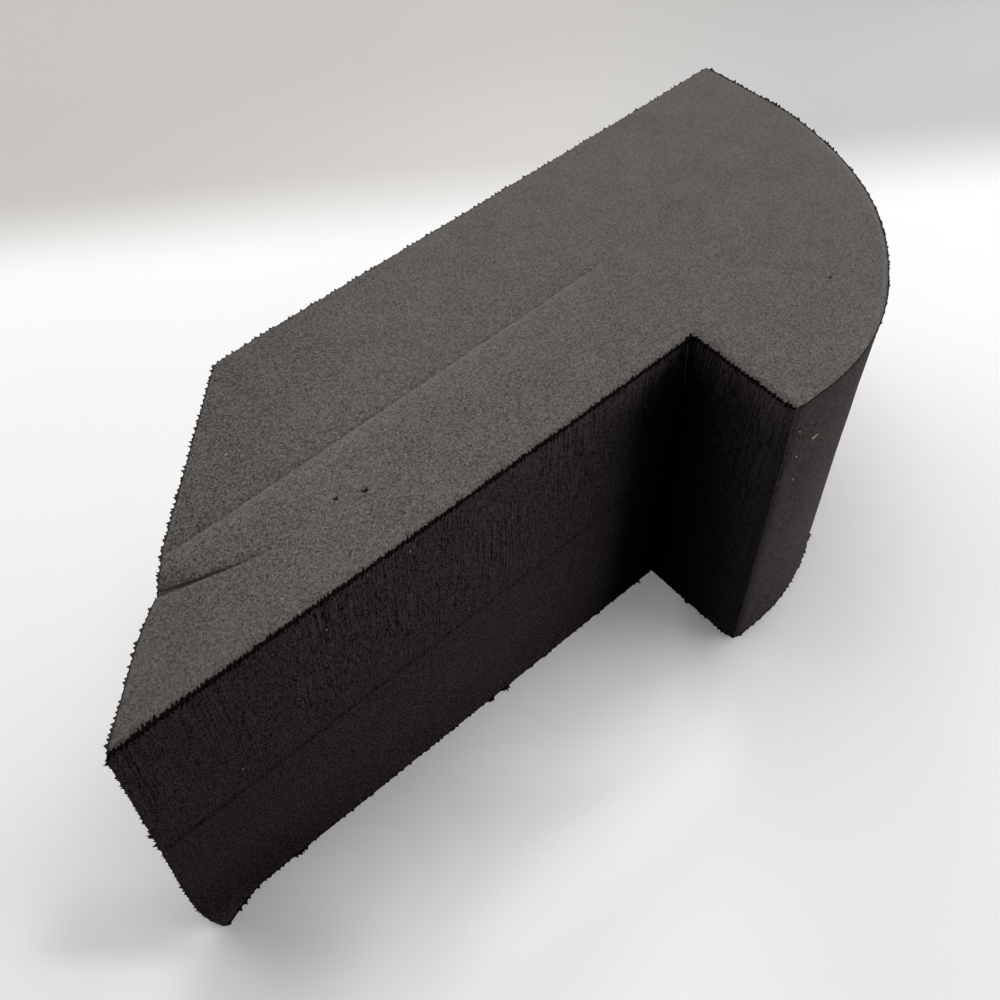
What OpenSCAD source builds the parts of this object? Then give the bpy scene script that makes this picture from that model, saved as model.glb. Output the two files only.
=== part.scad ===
// Foam block: two sheets of closed-cell foam bonded face to face and sawn to one outline.
// A straight bar has a slanted end on the left and a deeper head with one rounded corner
// on the right. The origin is the centre of the footprint's box, on the surface it stands on.

/* [Outline] */
// Length along the bar, from the sharp tip of the slanted end to the round end
length = 236; // [190:1:320]
// Width of the straight bar, from its long front face to its back
bar_width = 67; // [48:1:90]
// Length of the head, along the bar
head_length = 78.5; // [50:0.5:110]
// How far the head stands forward of the long front face
step_depth = 31.5; // [15:0.5:50]
// Radius of the rounded front corner of the head
head_radius = 71; // [20:1:100]
// How far the slanted end runs along the bar while it crosses its width
slant_run = 70; // [20:1:95]

/* [Foam sheets] */
// Thickness of the lower sheet
lower_thickness = 51.5; // [30:0.5:80]
// Thickness of the upper sheet
upper_thickness = 48.5; // [30:0.5:80]
// How deep the bond line lies below the sawn faces
bond_groove_depth = 0.4; // [0.1:0.1:1]
// Height of the groove that the bond line lies in
bond_groove_height = 0.8; // [0.2:0.1:2]

/* [Folds in the top] */
// Distance of the long fold from the front face, which it runs parallel to
long_fold_offset = 30; // [12:0.5:40]
// Length of the long fold, from the slanted end to where it fades out
long_fold_length = 125; // [60:1:140]
// Depth of the long fold where it starts
long_fold_depth = 0.7; // [0.2:0.1:1.5]
// Distance from the front face to where the short fold starts, at the slanted end
short_fold_offset = 22.5; // [8:0.5:32]
// Length of the short fold
short_fold_length = 31; // [15:1:45]
// Depth of the short fold where it starts
short_fold_depth = 1.6; // [0.4:0.1:2.5]
// Angle by which the short fold turns towards the front face
short_fold_angle = 17; // [0:1:30]
// Width of a fold's rounded front shoulder
front_shoulder = 3.2; // [1:0.1:5]
// Width of a fold's steep back shoulder
back_shoulder = 1; // [0.4:0.1:3]

/* [Wear] */
// Length of the shallow dent in the slanted end, where the short fold meets it
dent_length = 21; // [8:1:30]
// Depth of that dent
dent_depth = 1.9; // [0.4:0.1:3]
// Height of the bent foot of the sharp corner
foot_height = 17; // [8:0.5:25]
// How far the foot of the sharp corner is drawn in along the front face
foot_drawn_in = 4.2; // [1:0.1:6]
// How far the foot flares out in front of the front face
foot_flare = 2.6; // [0.4:0.1:4]
// Length of the flare along the front face
foot_flare_length = 22; // [10:1:35]

/* [Hidden] */
$fn = 96;

foam_grey = [0.376, 0.361, 0.349];
sawn_grey = [0.330, 0.316, 0.306];

face_length = length - head_length;
depth = bar_width + step_depth;
height = lower_thickness + upper_thickness;
// The rounded corner stays within the head's two walls, with a little of each left flat
least_flat = 2;
corner_radius = min(head_radius, head_length - least_flat, depth - least_flat);
slant_length = norm([slant_run, bar_width]);

// How far a cutting shape reaches past the face that it cuts
past = 1;
// How deep an added shape is rooted in the face that it grows from
root = 0.5;

// Open pits in the top skin: [from the slanted tip, from the front face, diameter]
top_pits = [[72.7, 15.2, 1.3], [66.7, 17.4, 0.9], [169.3, -14.7, 0.8], [195.6, -9.7, 1.1]];
// Open pits in the long front face: [from the slanted tip, from the floor, diameter]
front_pits = [[35.4, 48.3, 1.1], [39.1, 77.2, 0.8]];

// Where the slanted end lies at distance y from the front face, with the outline drawn in by inset
function slant_x(y, inset = 0) = (slant_run * y + slant_length * inset) / bar_width;

// Moves from the sharp front corner, which the sizes start from, to the part's own origin
module from_sharp_corner() {
    translate([-length / 2, (step_depth - bar_width) / 2, 0]) children();
}

// The sawn outline, with every wall drawn in by inset
module outline(inset = 0) {
    corner_x = length - corner_radius;
    corner_y = corner_radius - step_depth;
    polygon([
        [slant_x(inset, inset), inset],
        [face_length + inset, inset],
        [face_length + inset, inset - step_depth],
        [corner_x, inset - step_depth],
        [corner_x, corner_y],
        [length - inset, corner_y],
        [length - inset, bar_width - inset],
        [slant_x(bar_width - inset, inset), bar_width - inset]
    ]);
    intersection() {
        translate([corner_x, corner_y]) circle(r = corner_radius - inset);
        translate([corner_x, -step_depth]) square(corner_radius);
    }
}

// One sheet between two heights, with half of the bond line's groove at the side that is bonded
module sheet(bottom, thickness, bonded_at_top) {
    groove = bond_groove_height / 2;
    plain_from = bonded_at_top ? bottom : bottom + groove;
    groove_from = bonded_at_top ? bottom + thickness - groove : bottom;
    translate([0, 0, plain_from]) linear_extrude(height = thickness - groove) outline();
    translate([0, 0, groove_from]) linear_extrude(height = groove) outline(bond_groove_depth);
}

// A fold line that starts full depth at the origin and rises out of the surface at its end
module fold(run, start_depth) {
    widening = (start_depth + past) / start_depth;
    lead = 2 * back_shoulder + front_shoulder;
    rotate([0, -atan(start_depth / run), 0]) translate([-lead, 0, 0])
        rotate([90, 0, 90]) linear_extrude(height = lead + run)
            polygon([
                [0, -start_depth],
                [back_shoulder * widening, past],
                [-front_shoulder * widening, past]
            ]);
}

// A shallow dish in the slanted end's top edge, where the short fold comes out
module end_dent() {
    dent_radius = (pow(dent_length / 2, 2) + pow(dent_depth, 2)) / (2 * dent_depth);
    away = dent_radius - dent_depth;
    translate([
        slant_x(short_fold_offset) - away * bar_width / slant_length,
        short_fold_offset + away * slant_run / slant_length,
        height
    ]) sphere(r = dent_radius);
}

// The sliver that is missing from the foot of the sharp corner
module foot_sliver() {
    sliver_run = 3 * foot_drawn_in;
    polyhedron(
        points = [
            [-past, -past, foot_height], [-past, -past, -past], [foot_drawn_in + past, -past, -past],
            [slant_x(sliver_run) - past, sliver_run + past, -past]
        ],
        faces = [[0, 1, 2], [0, 2, 3], [0, 3, 1], [1, 3, 2]]
    );
}

// The lip that stands out in front of the front face at the foot of the sharp corner
module foot_lip() {
    polyhedron(
        points = [
            [foot_drawn_in + past, root, 0], [foot_flare_length, root, 0],
            [foot_drawn_in, root, foot_height], [foot_drawn_in + past, -foot_flare, 0]
        ],
        faces = [[0, 1, 2], [3, 1, 0], [3, 2, 1], [3, 0, 2]]
    );
}

module lower_sheet() {
    color(sawn_grey) from_sharp_corner() {
        difference() {
            sheet(0, lower_thickness, true);
            foot_sliver();
            for (pit = front_pits) if (pit[1] < lower_thickness)
                translate([pit[0], 0, pit[1]]) sphere(d = pit[2]);
        }
        foot_lip();
    }
}

module upper_sheet() {
    color(foam_grey) from_sharp_corner() difference() {
        sheet(lower_thickness, upper_thickness, false);
        translate([slant_x(long_fold_offset), long_fold_offset, height])
            fold(long_fold_length, long_fold_depth);
        translate([slant_x(short_fold_offset), short_fold_offset, height])
            rotate([0, 0, -short_fold_angle]) fold(short_fold_length, short_fold_depth);
        end_dent();
        for (pit = top_pits) translate([pit[0], pit[1], height]) sphere(d = pit[2]);
        for (pit = front_pits) if (pit[1] > lower_thickness)
            translate([pit[0], 0, pit[1]]) sphere(d = pit[2]);
    }
}

lower_sheet();
upper_sheet();
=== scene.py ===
"""A foam block: two bonded sheets of closed-cell foam, sawn to one stepped outline.

All sizes are in millimetres, in the part's own frame: +X runs along the bar towards the rounded
head, +Y towards the straight back and +Z up. Shapes are first laid out from the block's sharp
front tip, the corner that all the sizes start from, and then moved to the part's own frame. Only
mesh_piece, the shader graph and the studio turn millimetres into Blender's metres.
"""

import logging
import math
from collections.abc import Sequence
from dataclasses import dataclass, field
from enum import Enum

import bpy
import numpy as np
from mathutils import Matrix, Vector


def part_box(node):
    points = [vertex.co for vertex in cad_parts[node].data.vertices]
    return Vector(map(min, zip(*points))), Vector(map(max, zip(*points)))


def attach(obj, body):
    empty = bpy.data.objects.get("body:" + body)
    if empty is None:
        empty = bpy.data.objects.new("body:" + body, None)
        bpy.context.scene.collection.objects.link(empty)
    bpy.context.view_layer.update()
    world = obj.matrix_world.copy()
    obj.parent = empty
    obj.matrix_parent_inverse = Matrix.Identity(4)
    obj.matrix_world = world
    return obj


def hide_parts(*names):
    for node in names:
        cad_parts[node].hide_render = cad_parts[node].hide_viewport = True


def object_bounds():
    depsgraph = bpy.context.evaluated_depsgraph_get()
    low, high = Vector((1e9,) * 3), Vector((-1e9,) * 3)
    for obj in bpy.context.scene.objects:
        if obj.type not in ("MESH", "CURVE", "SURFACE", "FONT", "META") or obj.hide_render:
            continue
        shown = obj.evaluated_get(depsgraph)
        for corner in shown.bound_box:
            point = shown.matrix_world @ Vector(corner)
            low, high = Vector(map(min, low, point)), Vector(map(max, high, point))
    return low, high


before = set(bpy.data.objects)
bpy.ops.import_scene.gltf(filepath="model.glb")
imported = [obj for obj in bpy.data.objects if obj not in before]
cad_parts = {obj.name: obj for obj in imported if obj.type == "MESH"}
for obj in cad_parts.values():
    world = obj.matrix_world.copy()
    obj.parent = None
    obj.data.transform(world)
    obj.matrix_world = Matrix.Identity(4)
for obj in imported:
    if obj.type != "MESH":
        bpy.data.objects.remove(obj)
CAD_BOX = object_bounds()

MM = 0.001
SAMPLES = 4001
LOG = logging.getLogger("foam_block")
Array = np.ndarray
Colour = tuple[float, float, float]
Material = bpy.types.Material
Piece = bpy.types.Object
Socket = bpy.types.NodeSocket


# ---------------------------------------------------------------- numbers and grids


def graded(*stops: tuple[float, float]) -> Array:
    """Grid lines whose spacing changes gradually along a stretch.

    The wanted spacing is linear between the stops. The count of steps is the integral of one over
    the spacing, rounded, and the lines stand where that integral reaches each whole share of it.

    Args:
        stops: (place, spacing wanted there), in rising order of place.

    Returns:
        The places of the lines, from the first stop to the last.
    """
    at, spacing = np.array(stops, float).T
    fine = np.linspace(at[0], at[-1], SAMPLES)
    middle = (fine[1:] + fine[:-1]) / 2
    steps = np.append(0.0, np.cumsum(np.diff(fine) / np.interp(middle, at, spacing)))
    return np.interp(np.linspace(0, steps[-1], max(2, round(steps[-1])) + 1), steps, fine)


def ripple(points: Array, wavelength: float, seed: int, waves: int = 9) -> Array:
    """A smooth random field, between about -1 and 1.

    It is the mean of several sine waves, each with its own direction, phase and a wavelength
    within a third of the one asked for, times the square root of half their number.

    Args:
        points: Places, as rows of one to three coordinates.
        wavelength: The usual distance from crest to crest.
        seed: Chooses the directions and phases.
        waves: How many sine waves are added.

    Returns:
        One value for each row.
    """
    rng = np.random.default_rng(seed)
    way = rng.normal(size=(waves, points.shape[1]))
    way /= np.linalg.norm(way, axis=1, keepdims=True)
    turns = way / (wavelength * rng.uniform(0.67, 1.33, (waves, 1)))
    phase = rng.uniform(0, 2 * np.pi, waves)
    return np.sin(2 * np.pi * points @ turns.T + phase).sum(axis=1) / math.sqrt(waves * 2)


def fading(distance: Array, width: float) -> Array:
    """1 up to a distance of 0, and then dying away exponentially."""
    return np.exp(-np.maximum(distance, 0) / width)


def bell(distance: Array, width: float) -> Array:
    """A bell curve of the distance, 1 at its middle and 1/e one width away."""
    return np.exp(-((distance / width) ** 2))


def quads_between(rows: Array) -> Array:
    """The quads of a grid of numbers, each from [a, b] by [a, b + 1] and [a + 1, b + 1] to [a + 1, b]."""
    return np.stack([rows[:-1, :-1], rows[:-1, 1:], rows[1:, 1:], rows[1:, :-1]], axis=-1).reshape(-1, 4)


def linked(name: str, data: bpy.types.ID) -> bpy.types.Object:
    """Makes an object of some data and links it into the scene.

    Args:
        name: The object's name.
        data: Its mesh, light or camera.

    Returns:
        The object.
    """
    made = bpy.data.objects.new(name, data)
    bpy.context.scene.collection.objects.link(made)
    return made


def mesh_piece(
    name: str,
    points: Array,
    faces: Sequence[Array],
    slots: Sequence[int] = (),
    uv: Sequence[Array] = (),
    smooth: bool = True,
) -> Piece:
    """Makes a piece at the origin from whole arrays.

    Args:
        name: The piece's name.
        points: (n, 3) places.
        faces: Arrays of vertex numbers, each array with one count of corners for a face.
        slots: For each array of faces, its material slot.
        uv: For each array of faces, the surface coordinates of all its corners.
        smooth: Whether faces are shaded as one smooth surface.

    Returns:
        The piece, linked into the scene.
    """
    mesh = bpy.data.meshes.new(name)
    counts = [len(f) for f in faces]
    sizes = np.repeat([f.shape[1] for f in faces], counts)
    corners = np.concatenate([f.ravel() for f in faces])
    mesh.vertices.add(len(points))
    mesh.vertices.foreach_set("co", (points * MM).astype(np.float32).ravel())
    mesh.loops.add(len(corners))
    mesh.loops.foreach_set("vertex_index", corners.astype(np.int32))
    mesh.polygons.add(len(sizes))
    mesh.polygons.foreach_set("loop_start", np.append(0, np.cumsum(sizes)[:-1]).astype(np.int32))
    if slots:
        mesh.polygons.foreach_set("material_index", np.repeat(slots, counts).astype(np.int32))
    mesh.update(calc_edges=True)
    if uv:
        layer = mesh.uv_layers.new(name="surface")
        layer.data.foreach_set("uv", (np.concatenate(uv) * MM).astype(np.float32).ravel())
    mesh.polygons.foreach_set("use_smooth", np.full(len(sizes), smooth))
    mesh.validate()
    return linked(name, mesh)


def turn_outwards(piece: Piece) -> None:
    """Turns a closed mesh's faces outwards: the sign of its volume says whether they already are.

    Args:
        piece: The piece, whose faces all face the same way, in or out.
    """
    mesh = piece.data
    mesh.calc_loop_triangles()
    points = np.zeros(len(mesh.vertices) * 3)
    corners = np.zeros(len(mesh.loop_triangles) * 3, np.int32)
    mesh.vertices.foreach_get("co", points)
    mesh.loop_triangles.foreach_get("vertices", corners)
    a, b, c = points.reshape(-1, 3)[corners.reshape(-1, 3)].transpose(1, 0, 2)
    if np.einsum("ij,ij->i", a - a.mean(axis=0), np.cross(b - a, c - a)).sum() < 0:
        mesh.flip_normals()


def fasten(piece: Piece, slot: str, *materials: Material) -> None:
    """Dresses a piece and lets it ride on the block's only body.

    Args:
        piece: The piece.
        slot: The table slot that it belongs to; not used.
        materials: Its materials, by slot number.
    """
    for material in materials:
        piece.data.materials.append(material)
    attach(piece, "root")


# ---------------------------------------------------------------- shader maths


class Signal:
    """An output of a shader graph that arithmetic can be written with: each operator adds a Math node."""

    def __init__(self, graph: "ShaderGraph", socket: Socket) -> None:
        """Wraps one output socket of a graph."""
        self.graph = graph
        self.socket = socket

    def _math(self, operation: str, *values: "Signal | float") -> "Signal":
        """The result of a Math node on these values."""
        made = self.graph.node("ShaderNodeMath", {"operation": operation}, dict(enumerate(values)))
        return Signal(self.graph, made.outputs[0])

    def __add__(self, other: "Signal | float") -> "Signal":
        """self + other."""
        return self._math("ADD", self, other)

    def __sub__(self, other: "Signal | float") -> "Signal":
        """self - other."""
        return self._math("SUBTRACT", self, other)

    def __rsub__(self, other: float) -> "Signal":
        """other - self."""
        return self._math("SUBTRACT", other, self)

    def __mul__(self, other: "Signal | float") -> "Signal":
        """self * other."""
        return self._math("MULTIPLY", self, other)

    def __truediv__(self, other: "Signal | float") -> "Signal":
        """self / other."""
        return self._math("DIVIDE", self, other)

    def __pow__(self, other: float) -> "Signal":
        """self ** other."""
        return self._math("POWER", self, other)

    def __abs__(self) -> "Signal":
        """abs(self)."""
        return self._math("ABSOLUTE", self)

    __radd__ = __add__
    __rmul__ = __mul__

    def larger(self, other: "Signal | Socket | float") -> "Signal":
        """The larger of the two."""
        return self._math("MAXIMUM", self, other)

    def smaller(self, other: "Signal | float") -> "Signal":
        """The smaller of the two."""
        return self._math("MINIMUM", self, other)

    def exp(self) -> "Signal":
        """e to the power of self."""
        return self._math("EXPONENT", self)

    def ramp(self, low: float, high: float) -> "Signal":
        """A smooth step.

        Args:
            low: The value that it starts at.
            high: The value that it is finished at, which may be the smaller one.

        Returns:
            0 before low and 1 past high.
        """
        ends = {"Value": self, "From Min": low, "From Max": high}
        made = self.graph.node("ShaderNodeMapRange", {"interpolation_type": "SMOOTHSTEP"}, ends)
        return Signal(self.graph, made.outputs["Result"])

    def between(self, start: float, full: float, last: float, end: float) -> "Signal":
        """0 outside the stretch from start to end, 1 from full to last, with smooth steps."""
        return self.ramp(start, full) * self.ramp(end, last)


class ShaderGraph:
    """The nodes of a material or a world: one method makes any node and a few name the usual ones."""

    def __init__(self, name: str, world: bool = False) -> None:
        """Makes an empty material or world.

        Args:
            name: Its name.
            world: Whether it is a world.
        """
        self.owner = (bpy.data.worlds if world else bpy.data.materials).new(name)
        self.owner.use_nodes = True
        self.tree = self.owner.node_tree
        self.tree.nodes.clear()

    def node(self, kind: str, settings: dict | None = None, inputs: dict | None = None) -> bpy.types.Node:
        """Makes one node.

        Args:
            kind: The node's type name.
            settings: Its properties, set first.
            inputs: A value, Signal or socket for each input, by name or number.

        Returns:
            The node.
        """
        made = self.tree.nodes.new(kind)
        for key, value in (settings or {}).items():
            setattr(made, key, value)
        for key, value in (inputs or {}).items():
            if isinstance(value, Signal):
                value = value.socket
            if isinstance(value, Socket):
                self.tree.links.new(value, made.inputs[key])
            elif isinstance(value, tuple) and made.inputs[key].type == "RGBA":
                made.inputs[key].default_value = (*value, 1.0)
            else:
                made.inputs[key].default_value = value
        return made

    def place(self) -> Socket:
        """The point on the surface, in the part's own frame."""
        return self.scaled(self.node("ShaderNodeTexCoord").outputs["Object"], 1 / MM)

    def surface(self) -> tuple[Signal, Signal]:
        """The piece's own surface coordinates: along the wall and up it, or x and y on a cap."""
        uv = self.node("ShaderNodeUVMap", {"uv_map": "surface"}).outputs["UV"]
        return self.split(self.scaled(uv, 1 / MM))[:2]

    def seen(self) -> Signal:
        """Which rays show a surface, straight, mirrored or through glass.

        Returns:
            1 for them and 0 for the light that the surface throws.
        """
        rays = self.node("ShaderNodeLightPath").outputs
        straight = Signal(self, rays["Is Camera Ray"])
        return straight.larger(rays["Is Glossy Ray"]).larger(rays["Is Transmission Ray"])

    def split(self, vector: Socket) -> tuple[Signal, Signal, Signal]:
        """A vector's three parts."""
        parts = self.node("ShaderNodeSeparateXYZ", inputs={0: vector})
        return tuple(Signal(self, parts.outputs[axis]) for axis in "XYZ")

    def joined(self, x: Signal | float, y: Signal | float) -> Socket:
        """A vector of two parts."""
        return self.node("ShaderNodeCombineXYZ", inputs={0: x, 1: y}).outputs[0]

    def noise(self, vector: Socket, size: float) -> Signal:
        """Smooth noise from 0 to 1 whose lumps are about that size."""
        made = self.node("ShaderNodeTexNoise", inputs={"Vector": vector, "Scale": 1 / size, "Detail": 2.0})
        return Signal(self, made.outputs["Fac"])

    def cells(self, vector: Socket, size: float) -> tuple[Signal, Signal]:
        """Foam cells of about a size.

        Args:
            vector: The place.
            size: The usual width of a cell.

        Returns:
            The distance from the cell's middle in cell sizes, and the cell's own random tone.
        """
        made = self.node("ShaderNodeTexVoronoi", inputs={"Vector": vector, "Scale": 1 / size})
        tone = self.node("ShaderNodeSeparateColor", inputs={0: made.outputs["Color"]})
        return Signal(self, made.outputs["Distance"]), Signal(self, tone.outputs[0])

    def mix(self, share: Signal, first: object, second: object) -> Socket:
        """A colour between two colours."""
        return self.node("ShaderNodeMix", {"data_type": "RGBA"}, {0: share, 6: first, 7: second}).outputs[2]

    def layered(self, colour: object, *layers: tuple[Signal, Colour]) -> Socket:
        """A colour with others laid over it.

        Args:
            colour: The colour underneath.
            layers: (share, colour) of each layer, from below.

        Returns:
            The colour that shows.
        """
        for share, over in layers:
            colour = self.mix(share, colour, over)
        return colour

    def scaled(self, vector: object, factor: Signal | float) -> Socket:
        """A vector or colour times a factor."""
        made = self.node("ShaderNodeVectorMath", {"operation": "SCALE"}, {0: vector, "Scale": factor})
        return made.outputs[0]

    def distance(self, place: Socket, point: tuple[float, float, float]) -> Signal:
        """How far each place is from a point."""
        made = self.node("ShaderNodeVectorMath", {"operation": "DISTANCE"}, {0: place, 1: point})
        return Signal(self, made.outputs["Value"])

    def shown(self, shader: bpy.types.Node, output: str = "ShaderNodeOutputMaterial") -> bpy.types.ID:
        """Ends the graph with a shader, and returns the material or world."""
        self.node(output, inputs={"Surface": shader.outputs[0]})
        return self.owner

    def finish(
        self, colour: object, roughness: float, specular: float, relief: Signal, depth: float
    ) -> Material:
        """Ends the graph with a matt surface.

        Args:
            colour: The base colour.
            roughness: How matt it is.
            specular: The strength of its highlights.
            relief: The height field of its bump, from 0 to 1.
            depth: The height that 1 stands for.

        Returns:
            The material.
        """
        bump = self.node("ShaderNodeBump", inputs={"Strength": 1.0, "Distance": depth * MM, "Height": relief})
        return self.shown(self.node("ShaderNodeBsdfPrincipled", inputs={
            "Base Color": colour, "Roughness": roughness, "Specular IOR Level": specular,
            "Normal": bump.outputs[0],
        }))


# ---------------------------------------------------------------- finishes


@dataclass(frozen=True)
class SkinFinish:
    """The sheet's own skin: matt warm grey, mottled by cells that lie just under it."""

    dark: Colour = (0.030, 0.026, 0.023)
    light: Colour = (0.175, 0.162, 0.152)
    # burst: the dark of open pits, their open cells with the painted shade of their near wall.
    burst: Colour = (0.006, 0.005, 0.005)
    cell: float = 0.34
    patch: float = 9.0
    depth: float = 0.08

    def material(self, name: str, tip: Array, folds: Sequence["Fold"], pits: Sequence["Pit"]) -> Material:
        """Builds the skin's material.

        Args:
            name: The material's name.
            tip: The sharp front tip, which the folds are laid out from.
            folds: Fold lines, with a painted highlight in front, painted shade behind and a painted shade
                line in the crease.
            pits: Open pits, dark inside: their open cells with painted shade of the near wall.

        Returns:
            The material.
        """
        graph = ShaderGraph(name)
        place = graph.place()
        x, y, _ = graph.split(place)
        distance, tone = graph.cells(place, self.cell)
        fine = graph.noise(place, self.cell * 1.6)
        patches = graph.noise(place, self.patch)
        grain = (tone - 0.5) * 0.55 + (fine - 0.5) * 1.3 - (distance - 0.5) * 0.35
        calm_end = (x + y).ramp(-60, 160)
        coarse_end = (x + y).ramp(-75, -112)
        share = 0.5 + grain * (1.0 - calm_end * 0.6 - coarse_end * 0.3) + (patches - 0.5) * 0.20
        x, y = x - float(tip[0]), y - float(tip[1])
        # Painted shade: the skin darkens towards the slanted end, where the light falls off.
        share = share - (x * 0.69 - y * 0.72).ramp(35, 5) * 0.10
        for fold in folds:
            share = share + fold.shade(x, y)
        colour = graph.mix(share, self.dark, self.light)
        colour = graph.layered(colour, *((pit.darkness(graph, place), self.burst) for pit in pits))
        return graph.finish(colour, 0.88, 0.10, (1.0 - distance) * 0.4 + fine * 0.6, self.depth)


@dataclass(frozen=True)
class SawnFinish:
    """A sawn face: open cells in brown-black, combed by the blade, with pores and a bond line."""

    dark: Colour = (0.001, 0.001, 0.0013)
    light: Colour = (0.128, 0.095, 0.095)
    # shade_light is the pale colour under the notch's painted shade tint, and head_light the pale colour of
    # the painted light on the rounded head.
    shade_light: Colour = (0.098, 0.100, 0.112)
    head_light: Colour = (0.128, 0.106, 0.105)
    pale_streak: Colour = (0.33, 0.32, 0.36)
    cell: float = 0.36
    long_comb: float = 0.50
    short_comb: float = 0.40
    coarse: float = 0.80
    blotch: float = 2.2
    patch: float = 14.0
    pore_gap: float = 8.0
    bond_height: float = 51.0
    bond_half: float = 1.5
    inner_corner: float = 157.5
    nicks: tuple[float, ...] = (2.9, 3.9)
    depth: float = 0.10

    def material(self, name: str) -> Material:
        """Builds the sawn face's material.

        Its tone goes from dark to pale by a share that starts as a slow rise up the wall. Grain
        and the blade's streaks are added to it, then blotches, painted shade towards the tip with
        painted light further along, pores, the bond line and the nicks at the tip. Last, painted shade in the
        inner corner and painted light on the step's outer edge, the notch's top band and the rounded head
        scale it, and the notch's pale colour takes a painted shade tint.

        Args:
            name: The material's name.

        Returns:
            The material.
        """
        graph = ShaderGraph(name)
        place = graph.place()
        along, up = graph.surface()
        distance, tone = graph.cells(place, self.cell)
        fine = graph.noise(graph.joined(along, up * 0.6), self.cell * 1.3)
        long_combed = graph.noise(graph.joined(along, up * 0.03), self.long_comb)
        short_combed = graph.noise(graph.joined(along, up * 0.12), self.short_comb)
        where = graph.noise(graph.joined(along, up * 0.5), self.patch)
        coarse = graph.noise(graph.joined(along, up * 0.6), self.coarse)

        from_corner = along - self.inner_corner
        notch = from_corner.between(-25, -8, 31.5, 33)
        curved = from_corner.ramp(31.3, 34)
        upper = up.ramp(self.bond_height - 6, self.bond_height + 20)
        # The walls' top band, where painted light lifts the notch's painted shade.
        lip = up.ramp(82, 96)
        strength = (0.9 + along.ramp(0, 70) * 0.3) * (1.0 - curved * 0.3)
        calm = (1.0 - curved * 0.7) * (1.0 - along.ramp(50, 20) * 0.35)

        grain = ((tone - 0.5) * 0.7 - (distance - 0.5) * 0.5) * (1.0 - notch * 0.7)
        grain = grain + (fine - 0.5 + (coarse - fine) * (notch + curved * 0.6)) * (2.6 - notch)
        streaks = (long_combed - 0.5) * where.ramp(0.3, 0.7) * 1.15 + (short_combed - 0.5) * 0.8
        share = 0.36 + up.ramp(4, 30) * (1.0 - notch * 0.8) * 0.095
        share = share + grain * (upper * 0.06 + 0.46) * strength
        share = share + streaks * (upper + 0.30) * strength * calm
        share = share + (graph.noise(place, self.blotch) - 0.5) * (curved * 0.22 + 0.06)
        # Painted shade towards the sharp tip, more at its foot, and painted light from the middle of the
        # front face on.
        share = share - along.ramp(70, 10) * (up.ramp(30, 5) * 0.06 + 0.07) + along.ramp(65, 105) * 0.06
        share = share - graph.cells(place, self.pore_gap)[0].ramp(0.055, 0.03) * 0.6

        uneven = graph.noise(graph.joined(along, 0.0), 1.4)
        line = abs(up - self.bond_height).ramp(self.bond_half, 0.2)
        hidden = from_corner.between(2, 18, 140, 160)
        share = share - line * (uneven.ramp(0.25, 0.7) * 0.10 + 0.08) * (1.0 - hidden)
        for nick in self.nicks:
            share = share - abs(along - nick).ramp(0.25, 0.1) * up.ramp(64, 70) * 0.18

        # Painted shade darkens the notch's inner corner, less in its top band; painted light brightens the
        # step's outer edge, the notch's top band and the rounded head, and the notch takes a painted shade
        # tint.
        shaded = from_corner.between(-18, -2, 2, 20) * (1.0 - lip * 0.75)
        lit_outer_step = from_corner.between(17, 31, 31.3, 31.8)
        share = share * (1.0 - shaded * 0.72) * (1.0 + lit_outer_step * 1.1 + curved * 0.48 + notch * lip * 0.25)
        shade_tinted = from_corner.between(-32, -12, 29, 33) * (1.0 - lip * 0.8)
        pale = graph.layered(self.light, (shade_tinted, self.shade_light), (curved, self.head_light))
        # A pale streak down the inner corner, near the top.
        pale_streak = abs(from_corner + 1.4 + (up - 94.7) * 0.085).ramp(0.35, 0.10) * up.ramp(80, 84) * 0.6
        colour = graph.layered(graph.mix(share, self.dark, pale), (pale_streak, self.pale_streak))
        relief = (1.0 - distance) * 0.3 + fine * 0.4 + short_combed * 0.5
        return graph.finish(colour, 0.95, 0.0, relief, self.depth)


@dataclass(frozen=True)
class TornFinish:
    """The torn lip that the saw leaves along an edge."""

    dark: Colour
    light: Colour
    lump: float = 0.45
    depth: float = 0.05

    def material(self, name: str) -> Material:
        """Builds the torn lip's material.

        Args:
            name: The material's name.

        Returns:
            The material.
        """
        graph = ShaderGraph(name)
        fine = graph.noise(graph.place(), self.lump)
        colour = graph.mix(fine.ramp(0.3, 0.75), self.dark, self.light)
        return graph.finish(colour, 0.95, 0.0, fine, self.depth)


@dataclass(frozen=True)
class CrumbFinish:
    """A pale crumb of foam dust."""

    dark: Colour = (0.16, 0.15, 0.14)
    light: Colour = (0.42, 0.40, 0.37)
    lump: float = 0.2
    depth: float = 0.03

    def material(self, name: str) -> Material:
        """Builds the crumb's material.

        Args:
            name: The material's name.

        Returns:
            The material.
        """
        graph = ShaderGraph(name)
        fine = graph.noise(graph.place(), self.lump)
        return graph.finish(graph.mix(fine, self.dark, self.light), 0.8, 0.3, fine, self.depth)


# ---------------------------------------------------------------- the sawn outline


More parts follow.
